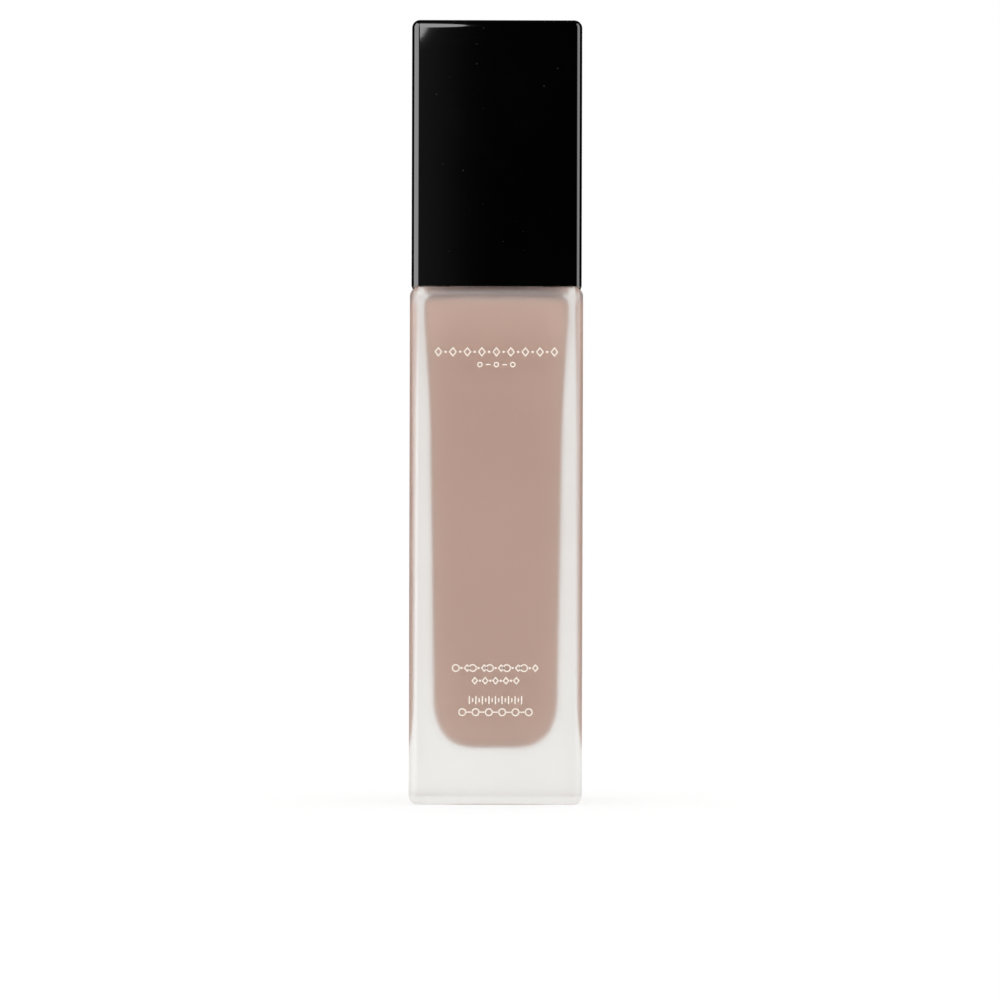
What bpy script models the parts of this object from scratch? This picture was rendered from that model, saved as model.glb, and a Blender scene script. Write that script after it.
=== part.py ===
"""A square foundation bottle: thick frosted glass, a screw-on treatment pump and a black overcap.

Lengths are in metres. +Z is up, the table is z = 0, every turning and sliding axis is x = y = 0,
and the nozzle points to the front, -Y.
"""

import math

import bmesh
import bpy

MM = 0.001
TURN = 2 * math.pi

# ---- Driving sizes ----

# Glass bottle
BODY_WIDTH = 28.7 * MM
BODY_DEPTH = 28.7 * MM
BODY_HEIGHT = 85.8 * MM
BODY_EDGE_RADIUS = 1.6 * MM
WALL_AT_SHOULDER = 2.3 * MM
WALL_AT_FLARE = 3.35 * MM
WALL_AT_FOOT = 4.0 * MM
SHOULDER_THICKNESS = 1.2 * MM
BASE_THICKNESS = 9.1 * MM
FLARE_TOP_DROP = 5.5 * MM  # below the shoulder
FLARE_FOOT_DROP = 26.0 * MM
BOWL_DEPTH = 8.4 * MM  # the cavity's rounded floor
CEILING_RADIUS = 1.6 * MM
PLAN_SQUARENESS = 5.0  # exponent of the cavity's superellipse seen from above
BOWL_SQUARENESS = 4.2
FLARE_BEND = 1.5
RECESS_INSET = 4.6 * MM
RECESS_DEPTH = 0.6 * MM
RECESS_CORNER = 3.0 * MM

# Neck finish, with a round-bead thread
NECK_RADIUS = 7.8 * MM
NECK_HEIGHT = 15.2 * MM
NECK_LIP_RADIUS = 0.6 * MM
THREAD_PITCH = 3.175 * MM
THREAD_TURNS = 1.5
NECK_BEAD = 1.0 * MM
THREAD_TOP_DROP = 2.4 * MM  # from the lip to the thread's upper end
RUN_OUT = 35.0  # degrees over which a thread sinks into its wall

# Screw closure and its metal sleeve
CLOSURE_BEAD = 0.85 * MM
CLOSURE_THREAD_TURNS = 1.25
CLOSURE_WALL = 1.1 * MM
CLOSURE_WEB = 1.3 * MM
SLEEVE_WALL = 0.55 * MM
SLEEVE_EDGE_RADIUS = 0.45 * MM
CLOSURE_FOOT_GAP = 0.7 * MM

# Pump
STROKE = 4.0 * MM
GASKET_THICKNESS = 0.9 * MM
FLANGE_THICKNESS = 1.2 * MM
BARREL_BORE_RADIUS = 3.7 * MM
BARREL_WALL = 0.9 * MM
BARREL_LENGTH = 21.1 * MM
CHIMNEY_RADIUS = 5.6 * MM
CHIMNEY_WALL = 1.1 * MM
TURRET_FLANGE = 1.0 * MM
TURRET_SKIRT_LENGTH = 3.2 * MM
TURRET_SKIRT_WALL = 0.5 * MM
SKIRT_OVERLAP = 0.8 * MM
STEM_RADIUS = 1.9 * MM
STEM_WALL = 0.8 * MM
STEM_COLLAR_RADIUS = 2.7 * MM
STEM_COLLAR_THICKNESS = 1.0 * MM
STEM_PORT_RADIUS = 0.35 * MM
STEM_PORT_RISE = 0.5 * MM  # from the stem's foot to the port's axis
PISTON_LENGTH = 4.4 * MM
PISTON_SLIP = 1.0 * MM
PISTON_SLEEVE_WALL = 0.55 * MM
PISTON_LIP_WALL = 0.4 * MM
PISTON_LIP_LENGTH = 3.2 * MM
PISTON_WEB = 0.7 * MM
PLUG_THICKNESS = 1.4 * MM
PLUG_PILOT_LENGTH = 1.5 * MM
PLUG_PILOT_BLADE = 0.5 * MM
PLUG_GUIDE_LENGTH = 3.0 * MM
SPRING_WIRE_RADIUS = 0.25 * MM
SPRING_RADIUS = 2.95 * MM
SPRING_COILS = 4.5
SPRING_END_COILS = 1.0
SPRING_END_PITCH = 0.58 * MM
BALL_RADIUS = 1.4 * MM
BALL_LIFT = 0.8 * MM
BALL_PORT_RADIUS = 0.8 * MM
RETAINER_THICKNESS = 0.9 * MM
RETAINER_HOLES = 4
RETAINER_HOLE_RADIUS = 0.7 * MM
RETAINER_HOLE_CIRCLE = 1.4 * MM
VENT_RADIUS = 0.4 * MM
VENT_DROP = 4.5 * MM  # below the housing's flange
DIP_TUBE_RADIUS = 1.8 * MM
DIP_TUBE_WALL = 0.6 * MM
DIP_TUBE_SOCKET = 7.0 * MM
DIP_TUBE_FLOOR_GAP = 2.2 * MM
DIP_TUBE_CUT_ANGLE = 35.0

# Actuator
ACTUATOR_WALL = 1.0 * MM
ACTUATOR_ROOF = 1.4 * MM
ACTUATOR_EDGE_RADIUS = 0.9 * MM
ACTUATOR_DISH = 0.5 * MM  # depth of the finger dish
NOZZLE_DROP = 4.4 * MM  # from the actuator's top to the nozzle's axis
NOZZLE_RADIUS = 1.7 * MM
NOZZLE_BORE = 0.7 * MM
NOZZLE_LIP = 0.6 * MM  # thickness of the nozzle's outer lip, and its step in radius
SPOUT_WALL = 0.7 * MM
HUB_WALL = 1.0 * MM
CORE_FLANGE = 1.0 * MM
NOZZLE_REACH = 3.0 * MM  # past the actuator's wall
NOZZLE_DEPTH = 3.4 * MM  # from the stem's axis to the nozzle's inner end
CHANNEL_RADIUS = 0.9 * MM

# Overcap
CAP_WIDTH_STEP = 0.25 * MM  # the cap stands this far inside the glass on each side
CAP_HEIGHT = 43.9 * MM
CAP_WALL = 1.4 * MM
CAP_EDGE_RADIUS = 1.3 * MM
CAP_INNER_CORNER = 0.8 * MM
CAP_TOP_RADIUS = 1.3 * MM
HEAD_ROOM = 2.6 * MM  # over the actuator
LINER_WALL = 0.8 * MM
LINER_FLANGE = 1.2 * MM
LINER_RECESS = 0.5 * MM
LINER_LENGTH = 17.0 * MM
LINER_RIBS = 8
LINER_RIB_RADIUS = 0.3 * MM
LINER_FIN = 0.9 * MM

# Base sticker
STICKER_THICKNESS = 0.12 * MM
STICKER_MARGIN = 1.2 * MM

# Clearances
SEAT_GAP = 0.12 * MM  # between faces that rest on each other
SLIDE_GAP = 0.1 * MM  # around a piece that slides in a bore
PRESS_GAP = 0.4 * MM  # left under the actuator at full stroke
CAP_GAP = 0.3 * MM  # the shadow gap between glass and cap
GRIP_GAP = 0.25 * MM  # between the sleeve and the liner's bore
TELESCOPE_GAP = 0.8 * MM  # between the chimney and the actuator's skirt
NECK_GAP = 0.3 * MM  # between the thread's crest and the closure
THREAD_PLAY = 0.15 * MM
FILL_GAP = 0.12 * MM  # between the make-up and the glass
DIP_GAP = 0.3 * MM  # between the make-up and the pump in it

# Facets round a circle
WIDE = 32
NARROW = 20

# ---- Sizes that follow ----

BARREL_RADIUS = BARREL_BORE_RADIUS + BARREL_WALL
NECK_BORE_RADIUS = BARREL_RADIUS + 0.4 * MM
FLANGE_RADIUS = NECK_RADIUS - SLIDE_GAP
CLOSURE_BORE_RADIUS = NECK_RADIUS + NECK_BEAD + NECK_GAP
CLOSURE_RADIUS = CLOSURE_BORE_RADIUS + CLOSURE_WALL
SLEEVE_RADIUS = CLOSURE_RADIUS + SEAT_GAP + SLEEVE_WALL
ACTUATOR_RADIUS = CHIMNEY_RADIUS + TELESCOPE_GAP + ACTUATOR_WALL
LINER_BORE_RADIUS = SLEEVE_RADIUS + GRIP_GAP
LINER_RADIUS = LINER_BORE_RADIUS + LINER_WALL
CAP_WIDTH = BODY_WIDTH - 2 * CAP_WIDTH_STEP
CAP_DEPTH = BODY_DEPTH - 2 * CAP_WIDTH_STEP
STEM_BORE_RADIUS = STEM_RADIUS - STEM_WALL
STEM_HOLE_RADIUS = STEM_RADIUS + SLIDE_GAP
CHAMBER_RADIUS = BALL_RADIUS + 0.6 * MM

# Heights above the table, upwards from the glass
NECK_TOP = BODY_HEIGHT + NECK_HEIGHT
GASKET_Z = NECK_TOP + SEAT_GAP
FLANGE_Z = GASKET_Z + GASKET_THICKNESS + SEAT_GAP
TURRET_Z = FLANGE_Z + FLANGE_THICKNESS + SEAT_GAP
WEB_Z = TURRET_Z + TURRET_FLANGE + SEAT_GAP
CLOSURE_TOP = WEB_Z + CLOSURE_WEB
SLEEVE_TOP = CLOSURE_TOP + SEAT_GAP + SLEEVE_WALL
CLOSURE_Z = BODY_HEIGHT + CLOSURE_FOOT_GAP
SKIRT_Z = SLEEVE_TOP + STROKE + PRESS_GAP
CHIMNEY_TOP = SKIRT_Z + SKIRT_OVERLAP
CAP_Z = BODY_HEIGHT + CAP_GAP
CAP_TOP = CAP_Z + CAP_HEIGHT
ACTUATOR_TOP = CAP_TOP - CAP_WALL - HEAD_ROOM
NOZZLE_Z = ACTUATOR_TOP - NOZZLE_DROP
HUB_Z = CHIMNEY_TOP + STROKE + PRESS_GAP
STEM_SOCKET_TOP = NOZZLE_Z - 1.5 * MM

# Heights downwards from the pump's flange
FLOOR_Z = FLANGE_Z - BARREL_LENGTH
RETAINER_Z = FLOOR_Z + SEAT_GAP
SPRING_Z = RETAINER_Z + RETAINER_THICKNESS + SEAT_GAP
BALL_Z = RETAINER_Z - SEAT_GAP - BALL_LIFT - BALL_RADIUS
CONE_APEX_Z = BALL_Z - math.sqrt(2) * (BALL_RADIUS + SEAT_GAP)  # of a 45 degree seat
TUBE_STOP_Z = CONE_APEX_Z + BALL_PORT_RADIUS - 0.7 * MM
SOCKET_Z = TUBE_STOP_Z - DIP_TUBE_SOCKET
TUBE_TOP = TUBE_STOP_Z - SEAT_GAP
TUBE_FOOT = BASE_THICKNESS + DIP_TUBE_FLOOR_GAP
TURRET_SKIRT_Z = TURRET_Z - TURRET_SKIRT_LENGTH
PISTON_Z = TURRET_SKIRT_Z - SEAT_GAP - PISTON_SLIP - PISTON_LENGTH
PLUG_TOP = PISTON_Z - SEAT_GAP
PLUG_Z = PLUG_TOP - PLUG_THICKNESS

# Height of the neck thread's lower end
THREAD_Z = NECK_TOP - THREAD_TOP_DROP - THREAD_PITCH * THREAD_TURNS


# ---- Scene, materials and modelling helpers ----


def clear_scene():
    for obj in list(bpy.data.objects):
        bpy.data.objects.remove(obj, do_unlink=True)


def new_collection(name):
    collection = bpy.data.collections.new(name)
    bpy.context.scene.collection.children.link(collection)
    return collection


def new_material(name, colour, roughness, metallic=0.0, transmission=0.0):
    material = bpy.data.materials.new(name)
    material.use_nodes = True
    shader = material.node_tree.nodes["Principled BSDF"]
    shader.inputs["Base Color"].default_value = (*colour, 1.0)
    shader.inputs["Roughness"].default_value = roughness
    shader.inputs["Metallic"].default_value = metallic
    shader.inputs["Transmission Weight"].default_value = transmission
    return material


def new_body(name, parent=None):
    """An empty that carries the pieces of one moving body. It sits on the common axis."""
    empty = bpy.data.objects.new(name, None)
    PARTS.objects.link(empty)
    empty.parent = parent
    return empty


def add_object(name, data, body=None, material=None, z=0.0):
    """An object at height z: a piece if it has a body, or else a cutter."""
    obj = bpy.data.objects.new(name, data)
    obj.location.z = z
    if body is None:
        CUTTERS.objects.link(obj)
        obj.hide_render = True
        obj.display_type = "WIRE"
        return obj
    PARTS.objects.link(obj)
    obj.parent = body
    data.materials.append(material)
    return obj


def turned(name, profile, facets=WIDE, **place):
    """Turns a (radius, height) profile about Z. It runs down its outer side, and is a
    closed loop unless it starts and ends on the axis."""
    mesh = bpy.data.meshes.new(name)
    count = len(profile)
    edges = [(i, i + 1) for i in range(count - 1)]
    if profile[0][0] > 0:
        edges.append((count - 1, 0))
    mesh.from_pydata([(radius, 0.0, height) for radius, height in profile], edges, [])
    obj = add_object(name, mesh, **place)
    screw = obj.modifiers.new("Turn", "SCREW")
    screw.steps = facets
    screw.render_steps = facets
    screw.use_smooth_shade = True
    screw.use_merge_vertices = True
    screw.merge_threshold = 1e-6
    return obj


def rod(name, radius, low, high, facets=NARROW, **place):
    """A plain round bar from low to high."""
    profile = [(0.0, high), (radius, high), (radius, low), (0.0, low)]
    return turned(name, profile, facets, **place)


def tube(name, outer, inner, length, facets=WIDE, **place):
    profile = [(outer, length), (outer, 0.0), (inner, 0.0), (inner, length)]
    return turned(name, profile, facets, **place)


def arc(centre, radius, start, end, steps=4):
    """Points on an arc in the (radius, height) plane, from start to end in degrees."""
    angles = [math.radians(start + (end - start) * i / steps) for i in range(steps + 1)]
    return [
        (centre[0] + radius * math.cos(a), centre[1] + radius * math.sin(a))
        for a in angles
    ]


def box_mesh(name, size, low_z=0.0):
    """A box centred on the axis, standing on low_z."""
    bm = bmesh.new()
    bmesh.ops.create_cube(bm, size=1.0)
    bmesh.ops.scale(bm, vec=size, verts=bm.verts)
    bmesh.ops.translate(bm, vec=(0, 0, low_z + size[2] / 2), verts=bm.verts)
    mesh = bpy.data.meshes.new(name)
    bm.to_mesh(mesh)
    bm.free()
    return mesh


def bevel_edges(mesh, width, segments, wanted):
    """Rounds the edges whose two end points satisfy wanted."""
    bm = bmesh.new()
    bm.from_mesh(mesh)
    chosen = [e for e in bm.edges if wanted(e.verts[0].co, e.verts[1].co)]
    bmesh.ops.bevel(
        bm, geom=chosen, offset=width, segments=segments, profile=0.5, affect="EDGES"
    )
    bm.to_mesh(mesh)
    bm.free()


def is_upright(a, b):
    return abs(a.z - b.z) > 10 * abs(a.x - b.x) + 10 * abs(a.y - b.y)


def post_box(name, size, corner, low_z=0.0, segments=4):
    """A box mesh whose four upright edges are rounded."""
    mesh = box_mesh(name, size, low_z)
    bevel_edges(mesh, corner, segments, is_upright)
    return mesh


def boolean(obj, operation, *others):
    for other in others:
        modifier = obj.modifiers.new(f"{operation.title()} {other.name}", "BOOLEAN")
        modifier.operation = operation
        modifier.solver = "EXACT"
        modifier.object = other


def thread(name, radius, bead, turns, low_z, sink):
    """A right-handed round bead on a wall of this radius. Its ends sink into the wall:
    inwards on a neck, where sink is -1, and outwards in a closure, where it is 1."""
    per_turn = 20
    count = round(turns * per_turn)
    curve = bpy.data.curves.new(name, "CURVE")
    curve.dimensions = "3D"
    curve.bevel_depth = bead
    curve.bevel_resolution = 2
    curve.use_fill_caps = True
    spline = curve.splines.new("POLY")
    spline.points.add(count)
    for i, point in enumerate(spline.points):
        turned_by = 360.0 * turns * i / count
        depth = max(0.0, 1.0 - min(turned_by, 360.0 * turns - turned_by) / RUN_OUT)
        reach = radius + sink * 0.5 * bead * depth
        angle = math.radians(turned_by)
        height = low_z + THREAD_PITCH * turned_by / 360.0
        point.co = (reach * math.cos(angle), reach * math.sin(angle), height, 1.0)
        point.radius = 1.0 - 0.7 * depth
    return curve_cutter(name, curve)


def curve_cutter(name, curve):
    """The closed mesh of a curve, which a Boolean can take."""
    guide = bpy.data.objects.new(name + "_curve", curve)
    CUTTERS.objects.link(guide)
    graph = bpy.context.evaluated_depsgraph_get()
    mesh = bpy.data.meshes.new_from_object(guide.evaluated_get(graph))
    bpy.data.objects.remove(guide)
    bm = bmesh.new()
    bm.from_mesh(mesh)
    bmesh.ops.remove_doubles(bm, verts=bm.verts, dist=1e-7)
    bmesh.ops.recalc_face_normals(bm, faces=bm.faces)
    bm.to_mesh(mesh)
    bm.free()
    return add_object(name, mesh)


# ---- Glass bottle, its contents and its sticker ----


def cavity_wall(z):
    """The glass's side wall at a height above the rounded floor."""
    flare_foot = BODY_HEIGHT - FLARE_FOOT_DROP
    flare_top = BODY_HEIGHT - FLARE_TOP_DROP
    floor_top = BASE_THICKNESS + BOWL_DEPTH
    if z >= flare_foot:
        share = min(1.0, (z - flare_foot) / (flare_top - flare_foot)) ** FLARE_BEND
        return WALL_AT_FLARE + (WALL_AT_SHOULDER - WALL_AT_FLARE) * share
    share = (z - floor_top) / (flare_foot - floor_top)
    return WALL_AT_FOOT + (WALL_AT_FLARE - WALL_AT_FOOT) * share


def cavity_levels():
    """(height, wall, pull) from the cavity's floor to its ceiling. Pull, from 0 to 1,
    is the share of the half width that a level keeps."""
    floor_top = BASE_THICKNESS + BOWL_DEPTH
    levels = []
    for drop in (0.985, 0.95, 0.88, 0.78, 0.64, 0.46, 0.24, 0.0):
        pull = (1 - drop**2) ** (1 / BOWL_SQUARENESS)
        levels.append((floor_top - drop * BOWL_DEPTH, WALL_AT_FOOT, pull))
    flare_foot = BODY_HEIGHT - FLARE_FOOT_DROP
    flare_top = BODY_HEIGHT - FLARE_TOP_DROP
    for share in (0.0, 0.35, 0.7, 1.0):
        z = flare_foot + (flare_top - flare_foot) * share
        levels.append((z, cavity_wall(z), 1.0))
    ceiling = BODY_HEIGHT - SHOULDER_THICKNESS
    half = BODY_WIDTH / 2 - WALL_AT_SHOULDER
    for radius, z in arc((half - CEILING_RADIUS, ceiling - CEILING_RADIUS), CEILING_RADIUS, 0, 90, 3):
        levels.append((z, WALL_AT_SHOULDER, radius / half))
    return levels


def superellipse(half_x, half_y, facets):
    """Points round a square outline with swollen sides and round corners."""
    power = 2 / PLAN_SQUARENESS
    points = []
    for i in range(facets):
        angle = TURN * (i + 0.5) / facets
        across, along = math.cos(angle), math.sin(angle)
        x = math.copysign(half_x * abs(across) ** power, across)
        y = math.copysign(half_y * abs(along) ** power, along)
        points.append((x, y))
    return points


def cavity_mesh(name, gap=0.0, facets=32):
    """A loft through the cavity's levels, drawn in by gap on every side."""
    bm = bmesh.new()
    levels = cavity_levels()
    lowest, highest = levels[0][0] + gap, levels[-1][0] - gap
    rings = []
    for z, wall, pull in levels:
        half_x = (BODY_WIDTH / 2 - wall) * pull - gap
        half_y = (BODY_DEPTH / 2 - wall) * pull - gap
        height = min(max(z, lowest), highest)
        outline = superellipse(half_x, half_y, facets)
        rings.append([bm.verts.new((x, y, height)) for x, y in outline])
    for below, above in zip(rings, rings[1:], strict=False):
        for i in range(facets):
            j = (i + 1) % facets
            bm.faces.new((below[i], below[j], above[j], above[i]))
    bm.faces.new(list(reversed(rings[0])))
    bm.faces.new(rings[-1])
    bmesh.ops.remove_doubles(bm, verts=bm.verts, dist=1e-7)
    bmesh.ops.recalc_face_normals(bm, faces=bm.faces)
    mesh = bpy.data.meshes.new(name)
    bm.to_mesh(mesh)
    bm.free()
    return mesh


def add_glass_bottle(body, material):
    mesh = box_mesh("glass_bottle", (BODY_WIDTH, BODY_DEPTH, BODY_HEIGHT))
    bevel_edges(mesh, BODY_EDGE_RADIUS, 4, lambda a, b: True)
    bottle = add_object("glass_bottle", mesh, body, material)
    lip = arc((NECK_RADIUS - NECK_LIP_RADIUS, NECK_TOP - NECK_LIP_RADIUS), NECK_LIP_RADIUS, 90, 0, 3)
    foot = BODY_HEIGHT - SHOULDER_THICKNESS / 2
    neck = turned("neck_blank", [(0.0, NECK_TOP), *lip, (NECK_RADIUS, foot), (0.0, foot)])
    neck_thread = thread("neck_thread", NECK_RADIUS, NECK_BEAD, THREAD_TURNS, THREAD_Z, -1)
    cavity = add_object("cavity_cut", cavity_mesh("cavity_cut"))
    inside = BODY_HEIGHT - 2 * SHOULDER_THICKNESS
    bore = rod("neck_bore_cut", NECK_BORE_RADIUS, inside, NECK_TOP + SHOULDER_THICKNESS, WIDE)
    recess_size = (
        BODY_WIDTH - 2 * RECESS_INSET,
        BODY_DEPTH - 2 * RECESS_INSET,
        2 * RECESS_DEPTH,
    )
    recess_mesh = post_box("base_recess_cut", recess_size, RECESS_CORNER, -RECESS_DEPTH)
    recess = add_object("base_recess_cut", recess_mesh)
    boolean(bottle, "UNION", neck, neck_thread)
    boolean(bottle, "DIFFERENCE", cavity, bore, recess)


def add_foundation_fill(body, material):
    """The make-up fills the glass, round the pump and its dip tube."""
    mesh = cavity_mesh("foundation_fill", FILL_GAP)
    fill = add_object("foundation_fill", mesh, body, material)
    barrel_foot = FLOOR_Z - BARREL_WALL - DIP_GAP
    chamber = CHAMBER_RADIUS + BARREL_WALL + DIP_GAP
    top = BODY_HEIGHT
    barrel = rod("fill_barrel_cut", NECK_BORE_RADIUS, barrel_foot, top, WIDE)
    socket = rod("fill_socket_cut", chamber, SOCKET_Z - DIP_GAP, top)
    straw = rod("fill_straw_cut", DIP_TUBE_RADIUS + DIP_GAP, TUBE_FOOT - DIP_GAP, top)
    boolean(fill, "DIFFERENCE", barrel, socket, straw)


def add_base_label(body, material):
    inset = 2 * (RECESS_INSET + STICKER_MARGIN)
    size = (BODY_WIDTH - inset, BODY_DEPTH - inset, STICKER_THICKNESS)
    foot = RECESS_DEPTH - SEAT_GAP - STICKER_THICKNESS
    mesh = post_box("base_label", size, RECESS_CORNER - STICKER_MARGIN, foot)
    add_object("base_label", mesh, body, material)


# ---- Screw closure and gasket ----


def add_closure_ring(body, material):
    web_hole = CHIMNEY_RADIUS + SLIDE_GAP
    profile = [
        (CLOSURE_RADIUS, CLOSURE_TOP),
        (CLOSURE_RADIUS, CLOSURE_Z),
        (CLOSURE_BORE_RADIUS, CLOSURE_Z),
        (CLOSURE_BORE_RADIUS, WEB_Z),
        (web_hole, WEB_Z),
        (web_hole, CLOSURE_TOP),
    ]
    ring = turned("closure_ring", profile, body=body, material=material)
    # The closure's bead lies against the neck bead's underside.
    apart = NECK_BEAD + CLOSURE_BEAD + THREAD_PLAY
    below = math.sqrt(apart**2 - (CLOSURE_BORE_RADIUS - NECK_RADIUS) ** 2)
    bead = thread(
        "closure_thread",
        CLOSURE_BORE_RADIUS,
        CLOSURE_BEAD,
        CLOSURE_THREAD_TURNS,
        THREAD_Z - below,
        1,
    )
    boolean(ring, "UNION", bead)


def add_closure_shell(body, material):
    inner = SLEEVE_RADIUS - SLEEVE_WALL
    hole = CHIMNEY_RADIUS + SLIDE_GAP + SLEEVE_WALL
    edge = SLEEVE_EDGE_RADIUS
    profile = [
        *arc((SLEEVE_RADIUS - edge, SLEEVE_TOP - edge), edge, 90, 0),
        (SLEEVE_RADIUS, CLOSURE_Z),
        (inner, CLOSURE_Z),
        (inner, SLEEVE_TOP - SLEEVE_WALL),
        (hole, SLEEVE_TOP - SLEEVE_WALL),
        (hole, SLEEVE_TOP),
    ]
    turned("closure_shell", profile, body=body, material=material)


def add_neck_gasket(body, material):
    inner = BARREL_RADIUS + SLIDE_GAP
    gasket = tube("neck_gasket", FLANGE_RADIUS, inner, GASKET_THICKNESS, body=body, material=material)
    gasket.location.z = GASKET_Z


# ---- Pump ----


def add_pump_housing(body, material):
    chamber_wall = CHAMBER_RADIUS + BARREL_WALL
    step = FLOOR_Z - BARREL_WALL
    tube_bore = DIP_TUBE_RADIUS + SLIDE_GAP
    profile = [
        (FLANGE_RADIUS, FLANGE_Z + FLANGE_THICKNESS),
        (FLANGE_RADIUS, FLANGE_Z),
        (BARREL_RADIUS, FLANGE_Z),
        (BARREL_RADIUS, step),
        (chamber_wall, step),
        (chamber_wall, SOCKET_Z),
        (tube_bore, SOCKET_Z),
        (tube_bore, TUBE_STOP_Z),
        (BALL_PORT_RADIUS, TUBE_STOP_Z),
        (BALL_PORT_RADIUS, CONE_APEX_Z + BALL_PORT_RADIUS),
        (CHAMBER_RADIUS, CONE_APEX_Z + CHAMBER_RADIUS),
        (CHAMBER_RADIUS, FLOOR_Z),
        (BARREL_BORE_RADIUS, FLOOR_Z),
        (BARREL_BORE_RADIUS, FLANGE_Z + FLANGE_THICKNESS),
    ]
    housing = turned("pump_housing", profile, body=body, material=material)
    middle = (BARREL_BORE_RADIUS + BARREL_RADIUS) / 2
    vent = rod("vent_cut", VENT_RADIUS, middle - BARREL_WALL, middle + BARREL_WALL, 12)
    vent.rotation_euler.x = -TURN / 4
    vent.location.z = FLANGE_Z - VENT_DROP
    boolean(housing, "DIFFERENCE", vent)


def add_pump_turret(body, material):
    """The housing's lid: a skirt plugs into the barrel and a chimney guides the actuator."""
    top = TURRET_Z + TURRET_FLANGE
    skirt = BARREL_BORE_RADIUS - SLIDE_GAP
    profile = [
        (CHIMNEY_RADIUS, CHIMNEY_TOP),
        (CHIMNEY_RADIUS, top),
        (FLANGE_RADIUS, top),
        (FLANGE_RADIUS, TURRET_Z),
        (skirt, TURRET_Z),
        (skirt, TURRET_SKIRT_Z),
        (skirt - TURRET_SKIRT_WALL, TURRET_SKIRT_Z),
        (skirt - TURRET_SKIRT_WALL, TURRET_Z),
        (STEM_HOLE_RADIUS, TURRET_Z),
        (STEM_HOLE_RADIUS, top),
        (CHIMNEY_RADIUS - CHIMNEY_WALL, top),
        (CHIMNEY_RADIUS - CHIMNEY_WALL, CHIMNEY_TOP),
    ]
    turned("pump_turret", profile, body=body, material=material)


def add_dip_tube(body, material):
    """A straw cut on the slant at its foot, so that it can't seal against the floor."""
    reach = DIP_TUBE_RADIUS * math.tan(math.radians(DIP_TUBE_CUT_ANGLE))
    straw = tube(
        "dip_tube",
        DIP_TUBE_RADIUS,
        DIP_TUBE_RADIUS - DIP_TUBE_WALL,
        TUBE_TOP - TUBE_FOOT,
        NARROW,
        body=body,
        material=material,
    )
    straw.location.z = TUBE_FOOT
    side = 6 * DIP_TUBE_RADIUS
    slant = add_object("slant_cut", box_mesh("slant_cut", (side, side, side), -side))
    slant.rotation_euler.y = math.radians(DIP_TUBE_CUT_ANGLE)
    slant.location.z = TUBE_FOOT + reach
    boolean(straw, "DIFFERENCE", slant)


def add_ball_retainer(body, material):
    radius = BARREL_BORE_RADIUS - SLIDE_GAP
    top = RETAINER_Z + RETAINER_THICKNESS
    disc = rod("ball_retainer", radius, RETAINER_Z, top, WIDE, body=body, material=material)
    for i in range(RETAINER_HOLES):
        angle = TURN * i / RETAINER_HOLES
        low = RETAINER_Z - RETAINER_THICKNESS
        hole = rod(f"retainer_hole_{i}", RETAINER_HOLE_RADIUS, low, top + RETAINER_THICKNESS, 12)
        hole.location.x = RETAINER_HOLE_CIRCLE * math.cos(angle)
        hole.location.y = RETAINER_HOLE_CIRCLE * math.sin(angle)
        boolean(disc, "DIFFERENCE", hole)


def add_inlet_ball(body, material):
    bm = bmesh.new()
    bmesh.ops.create_uvsphere(bm, u_segments=16, v_segments=12, radius=BALL_RADIUS)
    for face in bm.faces:
        face.smooth = True
    mesh = bpy.data.meshes.new("inlet_ball")
    bm.to_mesh(mesh)
    bm.free()
    add_object("inlet_ball", mesh, body, material, BALL_Z)


def spring_height(turns, low, high):
    """Height of the spring's wire after so many turns, between closed end coils."""
    rise = SPRING_END_PITCH * SPRING_END_COILS
    pitch = (high - low - 2 * rise) / SPRING_COILS
    if turns < SPRING_END_COILS:
        return low + SPRING_END_PITCH * turns
    if turns < SPRING_END_COILS + SPRING_COILS:
        return low + rise + pitch * (turns - SPRING_END_COILS)
    return high - SPRING_END_PITCH * (SPRING_COILS + 2 * SPRING_END_COILS - turns)


def add_return_spring(body, material):
    per_turn = 12
    total = SPRING_COILS + 2 * SPRING_END_COILS
    low = SPRING_Z + SPRING_WIRE_RADIUS
    high = PLUG_Z - SEAT_GAP - SPRING_WIRE_RADIUS
    curve = bpy.data.curves.new("return_spring", "CURVE")
    curve.dimensions = "3D"
    curve.bevel_depth = SPRING_WIRE_RADIUS
    curve.bevel_resolution = 2
    curve.use_fill_caps = True
    spline = curve.splines.new("POLY")
    count = round(total * per_turn)
    spline.points.add(count)
    for i, point in enumerate(spline.points):
        turns = i / per_turn
        angle = TURN * turns
        height = spring_height(turns, low, high)
        point.co = (SPRING_RADIUS * math.cos(angle), SPRING_RADIUS * math.sin(angle), height, 1.0)
    add_object("return_spring", curve, body, material)


def add_pump_stem(body, material):
    top = STEM_SOCKET_TOP - SEAT_GAP
    collar = PISTON_Z + PISTON_LENGTH + PISTON_SLIP + SEAT_GAP
    profile = [
        (STEM_RADIUS, top),
        (STEM_RADIUS, collar + STEM_COLLAR_THICKNESS),
        (STEM_COLLAR_RADIUS, collar + STEM_COLLAR_THICKNESS),
        (STEM_COLLAR_RADIUS, collar),
        (STEM_RADIUS, collar),
        (STEM_RADIUS, PLUG_TOP + SEAT_GAP),
        (STEM_BORE_RADIUS, PLUG_TOP + SEAT_GAP),
        (STEM_BORE_RADIUS, top),
    ]
    stem = turned("pump_stem", profile, NARROW, body=body, material=material)
    port = rod("stem_port_cut", STEM_PORT_RADIUS, -2 * STEM_RADIUS, 2 * STEM_RADIUS, 12)
    port.rotation_euler.x = TURN / 4
    port.location.z = PLUG_TOP + SEAT_GAP + STEM_PORT_RISE
    boolean(stem, "DIFFERENCE", port)


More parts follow.
